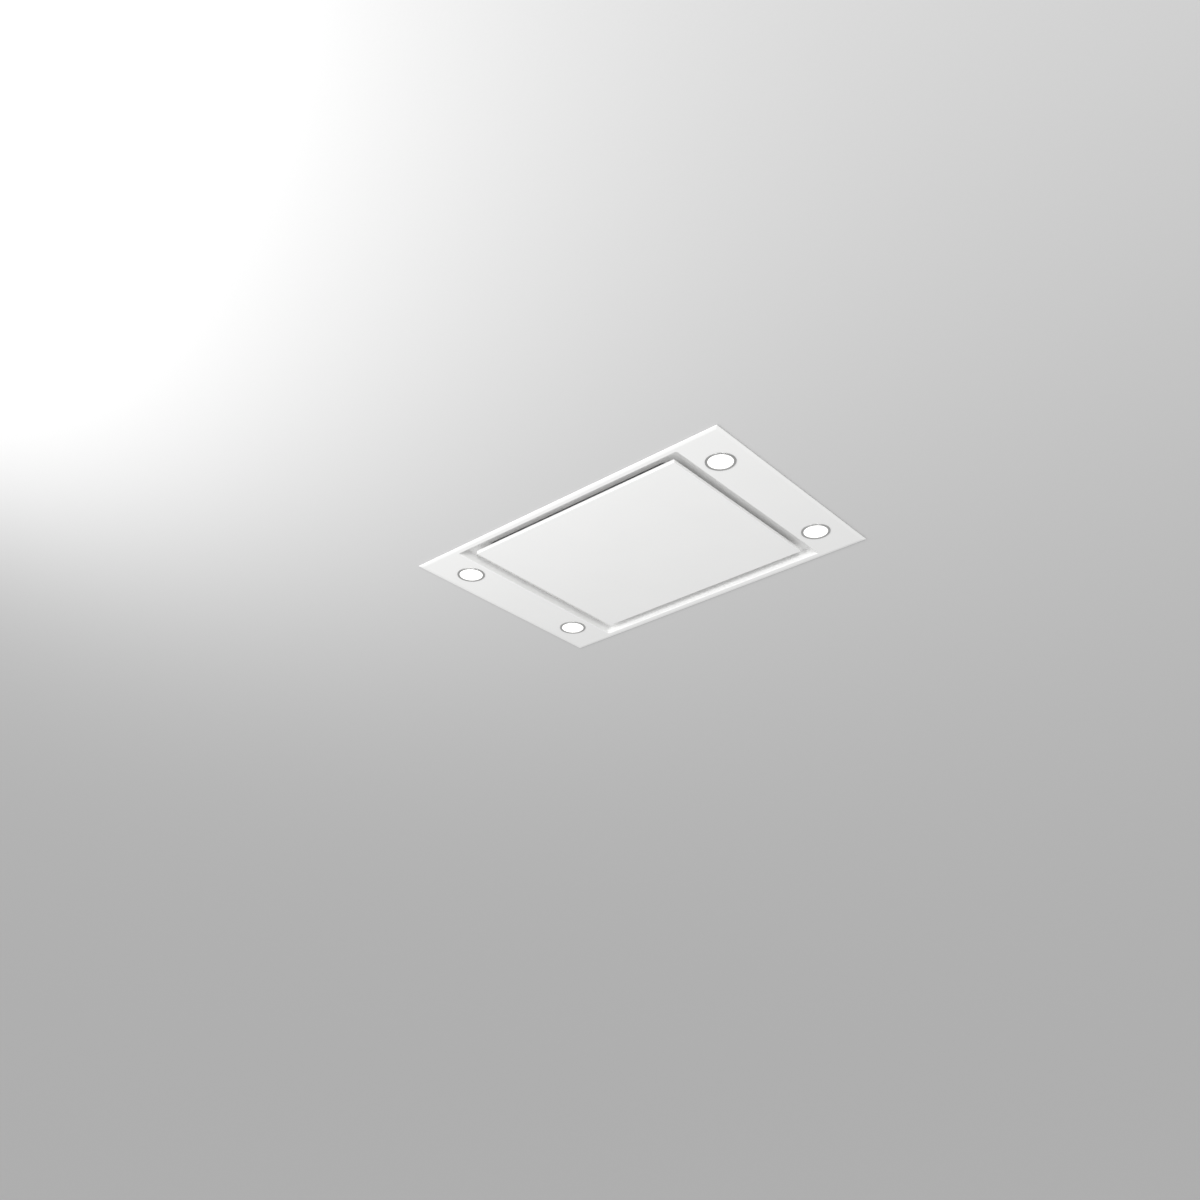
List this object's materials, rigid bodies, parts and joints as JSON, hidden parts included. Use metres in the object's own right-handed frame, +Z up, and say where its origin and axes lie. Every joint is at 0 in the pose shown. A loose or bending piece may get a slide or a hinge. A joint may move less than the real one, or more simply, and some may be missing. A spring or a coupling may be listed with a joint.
{
  "type": "ceiling range hood",
  "caption": "Flush ceiling range hood with perimeter suction: white plate, deep recess with hinged panel, recessed lamps, filters, volute blower and round duct collar.",
  "frame": {"origin": "middle of the hood on the face of the ceiling, where the foam seal's upper face bears", "axes": "+Z up into the ceiling void, X along the hood's 900 mm length, Y across it; +Y is the panel's hinged side and +X the duct end"},
  "size_m": [0.92, 0.6, 0.2689],
  "materials": {
    "white_paint": "satin",
    "foam": "matte",
    "felt": "matte",
    "zinc_plated_steel": "satin",
    "magnet": "matte",
    "white_plastic": "matte",
    "galvanised_sheet": "satin",
    "aluminium": "satin",
    "grey_plastic": "matte",
    "spring_steel": "polished",
    "black_wire": "satin",
    "motor_paint": "satin",
    "bronze": "satin",
    "rubber": "matte",
    "black_plastic": "matte",
    "lamp_ring": "satin",
    "opal_lens": "satin",
    "board_green": "satin"
  },
  "bodies": {
    "hood": {"fascia_plate": "white_paint", "ceiling_seal": "foam", "hinge_brackets": "zinc_plated_steel", "hinge_pins": "zinc_plated_steel", "magnets": "magnet", "magnet_holders": "black_plastic", "casing_shell": "galvanised_sheet", "casing_lid": "galvanised_sheet", "screws": "zinc_plated_steel", "blower_deck": "galvanised_sheet", "filter_rail": "galvanised_sheet", "plenum_side_1": "galvanised_sheet", "plenum_side_2": "galvanised_sheet", "filter_frame_1": "aluminium", "filter_frame_2": "aluminium", "filter_meshes": "aluminium", "latch_spring_1": "spring_steel", "latch_spring_2": "spring_steel", "inlet_ring": "galvanised_sheet", "inlet_guard": "black_wire", "scroll_housing": "galvanised_sheet", "scroll_cover": "galvanised_sheet", "motor_body": "motor_paint", "motor_bearing": "bronze", "motor_mount": "galvanised_sheet", "motor_grommets": "rubber", "outlet_duct": "galvanised_sheet", "outlet_collar": "black_plastic", "flap_spindle": "spring_steel", "lamp_bezels": "lamp_ring", "lamp_lenses": "opal_lens", "lamp_bodies": "aluminium", "lamp_clips": "spring_steel", "bracket_bolts": "zinc_plated_steel", "control_box": "galvanised_sheet", "control_cover": "galvanised_sheet", "control_board": "board_green", "terminal_block": "white_plastic", "cable_gland": "black_plastic", "led_driver": "white_plastic", "capacitor": "white_plastic", "capacitor_clip": "galvanised_sheet"},
    "panel": {"panel_skin": "white_paint", "panel_back": "white_paint", "panel_pad": "felt", "panel_hinge_leaves": "zinc_plated_steel", "magnet_strikes": "zinc_plated_steel"},
    "impeller": {"impeller_blades": "galvanised_sheet", "impeller_ring": "galvanised_sheet", "impeller_plate": "galvanised_sheet", "impeller_hub": "aluminium", "motor_shaft": "spring_steel"},
    "flap_1": {"outlet_flap_1": "aluminium"},
    "flap_2": {"outlet_flap_2": "aluminium"},
    "latch_1": {"filter_latch_1": "grey_plastic"},
    "latch_2": {"filter_latch_2": "grey_plastic"},
    "bracket_1": {"hanging_bracket_1": "galvanised_sheet"},
    "bracket_2": {"hanging_bracket_2": "galvanised_sheet"},
    "bracket_3": {"hanging_bracket_3": "galvanised_sheet"},
    "bracket_4": {"hanging_bracket_4": "galvanised_sheet"}
  },
  "joints": [
    {"name": "panel_hinge", "type": "hinge", "parent": "hood", "child": "panel", "pos_m": [0, 0.246, 0.0125], "axis": [1, 0, 0], "range_deg": [0, 90]},
    {"name": "impeller_spin", "type": "hinge", "parent": "hood", "child": "impeller", "pos_m": [-0.06, 0.04, 0.15], "axis": [0, 0, 1], "continuous": true},
    {"name": "flap_1_hinge", "type": "hinge", "parent": "hood", "child": "flap_1", "pos_m": [0.44, -0.085, 0.16], "axis": [0, 0, 1], "range_deg": [0, 75], "stiffness_Nm_per_rad": 0.02, "springref_deg": -11.46},
    {"name": "flap_2_hinge", "type": "hinge", "parent": "hood", "child": "flap_2", "pos_m": [0.44, -0.085, 0.16], "axis": [0, 0, -1], "range_deg": [0, 75], "stiffness_Nm_per_rad": 0.02, "springref_deg": -11.46},
    {"name": "latch_1_slide", "type": "slide", "parent": "hood", "child": "latch_1", "axis": [0, 1, 0], "range_m": [0, 0.007], "stiffness_N_per_m": 500, "springref_m": -0.003, "deforming": ["latch_spring_1"]},
    {"name": "latch_2_slide", "type": "slide", "parent": "hood", "child": "latch_2", "axis": [0, 1, 0], "range_m": [0, 0.007], "stiffness_N_per_m": 500, "springref_m": -0.003, "deforming": ["latch_spring_2"]},
    {"name": "bracket_1_height", "type": "slide", "parent": "hood", "child": "bracket_1", "axis": [0, 0, 1], "range_m": [-0.01, 0.03]},
    {"name": "bracket_2_height", "type": "slide", "parent": "hood", "child": "bracket_2", "axis": [0, 0, 1], "range_m": [-0.01, 0.03]},
    {"name": "bracket_3_height", "type": "slide", "parent": "hood", "child": "bracket_3", "axis": [0, 0, 1], "range_m": [-0.01, 0.03]},
    {"name": "bracket_4_height", "type": "slide", "parent": "hood", "child": "bracket_4", "axis": [0, 0, 1], "range_m": [-0.01, 0.03]}
  ]
}
